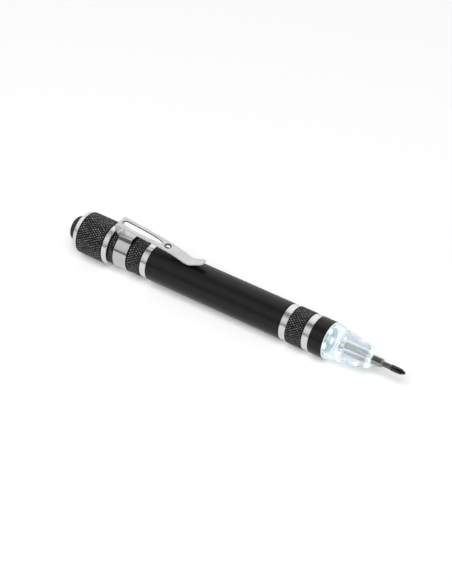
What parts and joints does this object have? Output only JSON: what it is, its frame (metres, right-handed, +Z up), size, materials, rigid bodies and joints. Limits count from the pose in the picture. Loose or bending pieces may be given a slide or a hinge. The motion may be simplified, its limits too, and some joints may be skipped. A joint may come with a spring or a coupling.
{
  "type": "screwdriver pen",
  "caption": "Pen-shaped screwdriver: black knurled barrel with a pocket clip, push-button tail cap, clear lit nose and a hexagon bit, with spare bits and cells inside.",
  "frame": {"origin": "on the ground under the middle of the pen, which lies on its side", "axes": "+X along the pen towards the bit, +Z up through the clip, +Y to the left of the way the bit points"},
  "size_m": [0.1342, 0.0152, 0.0194],
  "materials": {
    "black_anodised": "satin black anodised, with bright-cut rings",
    "clear_plastic": "clear moulded plastic",
    "board": "blue-green lacquered board",
    "lamp": "white lamp, lit",
    "nickel": "nickel plate",
    "brass": "plain brass, and a brass-coloured plating on the magnet",
    "ivory_plastic": "plain moulded plastic",
    "grey_plastic": "plain moulded plastic",
    "tool_steel": "polished hardened steel",
    "button_plastic": "black moulded plastic",
    "clip_steel": "polished spring steel"
  },
  "bodies": {
    "barrel": {"barrel": "black_anodised", "clip_band": "clip_steel", "cell_sleeve": "ivory_plastic", "contact_plate": "brass", "cell_1": "nickel", "cell_2": "nickel", "cell_3": "nickel"},
    "clip_arm": {"clip_arm": "clip_steel"},
    "switch_core": {"switch_housing": "ivory_plastic", "cell_spring": "nickel", "button_spring": "nickel"},
    "tail_cap": {"tail_cap": "black_anodised"},
    "push_button": {"push_button": "button_plastic", "switch_contact": "brass"},
    "magazine": {"bit_magazine": "grey_plastic", "contact_rod": "brass", "feed_spring": "nickel", "spare_bit_1": "tool_steel", "spare_bit_2": "tool_steel", "spare_bit_3": "tool_steel"},
    "front": {"front_sleeve": "black_anodised", "nose_lens": "clear_plastic", "led_board": "board", "led_1": "lamp", "led_2": "lamp", "led_3": "lamp", "magnet": "brass", "contact_stud": "brass", "stud_bush": "ivory_plastic"},
    "driver_bit": {"driver_bit": "tool_steel"}
  },
  "joints": [
    {"name": "clip_flex", "type": "hinge", "parent": "barrel", "child": "clip_arm", "pos_m": [-0.0469, 0, 0.01645], "axis": [0, -1, 0], "range_deg": [0, 6], "stiffness_Nm_per_rad": 1, "springref_deg": -2.86},
    {"name": "tail_cap_travel", "type": "slide", "parent": "barrel", "child": "switch_core", "axis": [-1, 0, 0], "range_m": [0, 0.006]},
    {"name": "tail_cap_turn", "type": "hinge", "parent": "switch_core", "child": "tail_cap", "pos_m": [-0.0558, 0, 0.00755], "axis": [-1, 0, 0], "range_deg": [0, 2161]},
    {"name": "button_press", "type": "slide", "parent": "switch_core", "child": "push_button", "axis": [1, 0, 0], "range_m": [0, 0.0014], "stiffness_N_per_m": 400, "springref_m": -0.001, "deforming": ["button_spring"]},
    {"name": "front_pull", "type": "slide", "parent": "barrel", "child": "magazine", "axis": [1, 0, 0], "range_m": [0, 0.064]},
    {"name": "front_turn", "type": "hinge", "parent": "magazine", "child": "front", "pos_m": [0.0302, 0, 0.00755], "axis": [1, 0, 0], "range_deg": [0, 1620]},
    {"name": "bit_pull", "type": "slide", "parent": "front", "child": "driver_bit", "axis": [1, 0, 0], "range_m": [0, 0.011]}
  ],
  "couplings": [
    {"joint": "tail_cap_turn", "follows": "tail_cap_travel", "rad_per_m": 6283.2}
  ]
}
